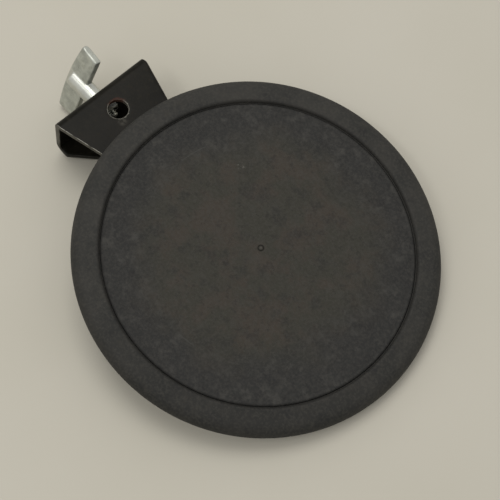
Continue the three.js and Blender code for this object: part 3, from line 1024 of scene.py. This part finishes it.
def blank_outline():
    """The flat blank: a tongue that widens to the wall, and a flange with cut corners."""
    def tongue_half(along):
        return half_width - (tongue_length - along) * math.tan(BRACKET_TAPER)

    corner_cut = FLANGE_SHOULDER - FLANGE_END
    side = [
        (0, tongue_half(0) - TONGUE_CORNER, 1),
        (TONGUE_CORNER, tongue_half(TONGUE_CORNER), 1),
        (tongue_length, half_width, 3),
        (blank_length - corner_cut, half_width, 2),
        (blank_length, half_width - corner_cut, 2),
    ]
    near = [(x, -y, radius) for x, y, radius in side]
    return filleted(near + side[::-1])


def blank_grid():
    """Points across the blank: close together in the bends, further apart on the flats."""
    flat_spacing, bend_spacing, half_rows = 2.0, 0.55, 16
    columns, start = [], 0
    for length, bend in stretches:
        spacing = flat_spacing if bend is None else bend_spacing
        count = max(1, round(length / spacing))
        columns += [start + length * i / count for i in range(count)]
        start += length
    rows = [half_width * (i / half_rows - 1) for i in range(2 * half_rows + 1)]
    return [Vector((x, y)) for x in columns for y in rows]


def make_bracket(look):
    """The bracket: its blank with all its holes, folded over both bends."""
    top_bend_length = stretches[1][0]
    wall_hole = tongue_length + top_bend_length + (bracket_high.z - TOP_BEND - bolt_height)
    flange_hole = blank_length - (rod_distance - FLANGE_END)
    holes = [
        (rod_distance - tongue_end, 0, ROD_HOLE_RADIUS),
        (wall_hole, 0, WALL_HOLE_RADIUS),
        (flange_hole, 0, ROD_HOLE_RADIUS),
    ]
    holes += [(-x - tongue_end, y, BRACKET_BOLT_HOLE_RADIUS) for x, y in bolt_places]
    points, faces, depth = plate(blank_outline(), holes, SHEET, 0.5, blank_grid())
    folded = ([fold(point) for point in points], faces)
    piece = add_piece("folded_bracket", folded, look, "clamp_bracket")
    store(piece.data, "depth", depth)


def make_bracket_bolts(look):
    """Hexagon bolts, head down, each with its washer."""
    low, high = extent("bracket_bolt_1")
    washer_bottom, washer_top = extent("bracket_washer_1")
    head_height, across_flats = 3.5, 8
    seat = low.z + head_height
    head = hexagon(across_flats, low.z, seat)
    shank = threaded(**M5, bottom=seat - 0.5, top=high.z, chamfer=0.5, segments=32)
    washer_radius = washer_top.x - (washer_bottom.x + washer_top.x) / 2
    inner = M5["radius"] + WASHER_CLEARANCE
    washer = rounded_ring(inner, washer_radius, washer_bottom.z, washer_top.z, 0.2)
    for index, (x, y) in enumerate(bolt_places):
        place = Matrix.Translation((x, y, 0))
        turn = Matrix.Rotation(0.35 + index * 0.8, 4, "Z")
        bolt = moved(joined(head, shank), place @ turn)
        ring = moved(washer, place)
        number = index + 1
        add_piece(f"hex_bolt_{number}", bolt, look, f"bracket_bolt_{number}")
        add_piece(f"flat_washer_{number}", ring, look, f"bracket_washer_{number}")


def rounded_ring(inner, outer, bottom, top, edge, segments=64):
    """A flat ring round Z with rounded edges."""
    corners = [(inner, bottom), (outer, bottom), (outer, top), (inner, top)]
    return turned(filleted([(*corner, edge) for corner in corners]), segments, loop=True)


def make_weld_nut(look):
    """The hexagon nut inside the wall, with three weld beads that hold it."""
    outer, inner = -nut_low.x, -nut_high.x
    across_flats, thread_clearance = 13, 0.12
    nut = hexagon(across_flats, inner, outer, bore=M8["radius"] + thread_clearance)
    bead_profile = [(0, -0.3), (1.5, -0.2), (1.9, 0.4), (1.3, 1.4), (0.6, 1.9), (0, 2.0)]
    lean = Matrix.Rotation(math.radians(125), 4, "X")
    at_flat = Matrix.Translation((0, across_flats / 2 - 0.4, outer - 0.3))
    bead = turned(bead_profile, 20)
    beads = []
    for angle in (30, 150, 270):
        spin = Matrix.Rotation(math.radians(angle), 4, "Z")
        beads.append(moved(bead, spin @ at_flat @ lean))
    welded = moved(joined(nut, *beads), ALONG_BOLT)
    add_piece("welded_nut", welded, look, "weld_nut")


# ---- Wing bolt ----

def make_wing_washer(look):
    outer = (washer_high.y - washer_low.y) / 2
    inner = M8["radius"] + WASHER_CLEARANCE
    ring = rounded_ring(inner, outer, -washer_high.x, -washer_low.x, 0.35, segments=96)
    add_piece("loose_washer", moved(ring, ALONG_BOLT), look, "wing_washer", body="washer")


def make_shank(look):
    stud = threaded(
        **M8, bottom=-shank_high.x, top=-shank_low.x, chamfer=0.9, segments=64, steps_per_turn=10
    )
    add_piece("threaded_stud", moved(stud, ALONG_BOLT), look, "wing_shank", body="wing_bolt")


def blade_reach(span):
    """Distance of the blade's bowed outer edge from the pad's axis, at a place along its span."""
    middle = -wing_low.x
    return middle - (middle - WING_TIP_OUTER_EDGE) * (span / WING_OUTER_HALF_SPAN) ** 2


def blade_outline():
    """The blade's edge in (distance, span): a straight inner side, a bowed outer one."""
    bowed_share, steps = 0.92, 9
    tips = [
        (WING_INNER_EDGE, WING_INNER_HALF_SPAN, 1.0),
        (WING_TIP_OUTER_EDGE, WING_OUTER_HALF_SPAN, 1.1),
    ]
    spans = [-bowed_share * WING_OUTER_HALF_SPAN * i / steps for i in range(1 - steps, steps)]
    bow = [(blade_reach(span), span, 0) for span in spans]
    other_tips = [(x, -y, radius) for x, y, radius in reversed(tips)]
    return filleted(tips + bow + other_tips)[::-1]


def blade_shape():
    """The cast blade: crowned faces that slope away along the outer edge."""
    columns = math.ceil((-wing_low.x - WING_INNER_EDGE) / EDGE_SPACING)
    rows = math.ceil(WING_OUTER_HALF_SPAN / EDGE_SPACING)
    grid = [
        Vector((WING_INNER_EDGE + EDGE_SPACING * i, EDGE_SPACING * j))
        for i in range(columns)
        for j in range(-rows, rows + 1)
    ]
    edge = 0.8
    points, faces, _ = plate(blade_outline(), [], WING_THICKNESS, edge, grid)
    for point in points:
        facet = max(0, 1 - (blade_reach(point.y) - point.x) / WING_FACET)
        share = abs(point.y) / WING_OUTER_HALF_SPAN
        point.z *= (1.06 - 0.08 * share) * (1 - 0.3 * facet)
    return points, faces


def wing_socket(seat):
    """The blind socket for the stud, open towards the wall."""
    radius = M8["radius"] + 0.3
    end = -shank_low.x + 0.3
    open_end = seat - 1
    return turned([(0, open_end), (radius, open_end), (radius, end), (0, end)], 48)


def make_wing_head(look):
    """The casting: boss and blade run into each other with a fillet, and a blind socket."""
    seat = -wing_high.x
    boss_profile = rod_profile(WING_BOSS_RADIUS, seat, WING_BOSS_END, 0.5, 0.7)
    boss = moved(turned(boss_profile, 96), ALONG_BOLT)
    span_y, span_z = math.cos(WING_TURN), math.sin(WING_TURN)
    blade_place = Matrix(
        ((-1, 0, 0, 0), (0, span_y, span_z, 0), (0, span_z, -span_y, bolt_height), (0, 0, 0, 1))
    )
    rough = make_mesh("casting", joined(boss, moved(blade_shape(), blade_place)))
    cast = with_modifier(rough, "REMESH", mode="VOXEL", voxel_size=CAST_VOXEL * MM)
    cast = with_modifier(cast, "SMOOTH", factor=0.5, iterations=CAST_SMOOTHING)
    socket = make_mesh("socket", moved(wing_socket(seat), ALONG_BOLT))
    shape = shape_of(combined(cast, socket, "DIFFERENCE"))
    add_piece("cast_wing", shape, look, "wing_head", body="wing_bolt", sharp=math.radians(50))


# ---- Stage ----

CAMERA_TARGET = Vector((0.01896, 0.00476, 0))
CAMERA_DISTANCE = 0.6213
CAMERA_AZIMUTH = math.radians(44.62)
CAMERA_ELEVATION = math.radians(64.40)
CAMERA_ROLL = math.radians(1.43)
CAMERA_LENS = 77.42
CAMERA_SENSOR = 36
FLOOR_HALF_SIZE = 5.0


def make_camera():
    data = bpy.data.cameras.new("camera")
    data.sensor_width = CAMERA_SENSOR
    data.lens = CAMERA_LENS
    camera = new_object("camera", data)
    level, rise = math.cos(CAMERA_ELEVATION), math.sin(CAMERA_ELEVATION)
    back = Vector((math.sin(CAMERA_AZIMUTH) * level, -math.cos(CAMERA_AZIMUTH) * level, rise))
    camera.location = CAMERA_TARGET + back * CAMERA_DISTANCE
    camera.rotation_mode = "QUATERNION"
    roll = Quaternion((0, 0, 1), CAMERA_ROLL)
    camera.rotation_quaternion = (-back).to_track_quat("-Z", "Y") @ roll
    bpy.context.scene.camera = camera


def make_floor():
    mesh = bpy.data.meshes.new("floor")
    signs = [(-1, -1), (1, -1), (1, 1), (-1, 1)]
    corners = [(FLOOR_HALF_SIZE * x, FLOOR_HALF_SIZE * y, 0) for x, y in signs]
    mesh.from_pydata(corners, [], [(0, 1, 2, 3)])
    mesh.materials.append(floor_paint().material)
    new_object("floor", mesh)


def add_light(name, direction, distance, size, power, colour=(1, 1, 1)):
    """A rectangular softbox that looks at the origin, with its longer side level."""
    data = bpy.data.lights.new(name, "AREA")
    data.shape = "RECTANGLE"
    data.size, data.size_y = size
    data.energy = power
    data.color = colour
    light = new_object(name, data)
    light.location = Vector(direction).normalized() * distance
    light.rotation_mode = "QUATERNION"
    light.rotation_quaternion = (-light.location).to_track_quat("-Z", "Y")


def make_lights():
    """A bright room, a soft key from above, and a strip whose glint shows on the metal."""
    world = bpy.data.worlds.new("studio")
    world.use_nodes = True
    background = world.node_tree.nodes["Background"]
    background.inputs["Color"].default_value = (1.0, 0.985, 0.96, 1)
    background.inputs["Strength"].default_value = 0.63
    bpy.context.scene.world = world
    add_light(
        "key", direction=(-0.27, 0.12, 0.95), distance=1.1, size=(0.56, 0.56), power=3.7,
        colour=(1, 0.985, 0.95),
    )
    add_light("glint", direction=(0.01, -0.5, 0.87), distance=1.6, size=(0.9, 0.16), power=3.6)


# ---- Build ----

def repaint(node, look):
    """Gives a CAD node whose shape is right a better material."""
    kept = frame["nodes"][node]
    kept.data.materials.clear()
    kept.data.materials.append(look.material)


bpy.context.scene.view_settings.view_transform = "Standard"

zinc = zinc_plate()
make_playing_surface(surface_rubber())
make_rim(rim_rubber())
make_foam(foam())
make_base_plate(base_paint())
make_base_screws(zinc)
make_bracket(bracket_paint())
make_bracket_bolts(zinc)
make_weld_nut(zinc)
make_wing_washer(zinc)
make_shank(zinc)
make_wing_head(cast_zinc())

repaint("deck_board", plywood())
for index in range(BRACKET_BOLT_COUNT):
    repaint(f"tee_nut_{index + 1}", zinc)

make_camera()
make_floor()
make_lights()
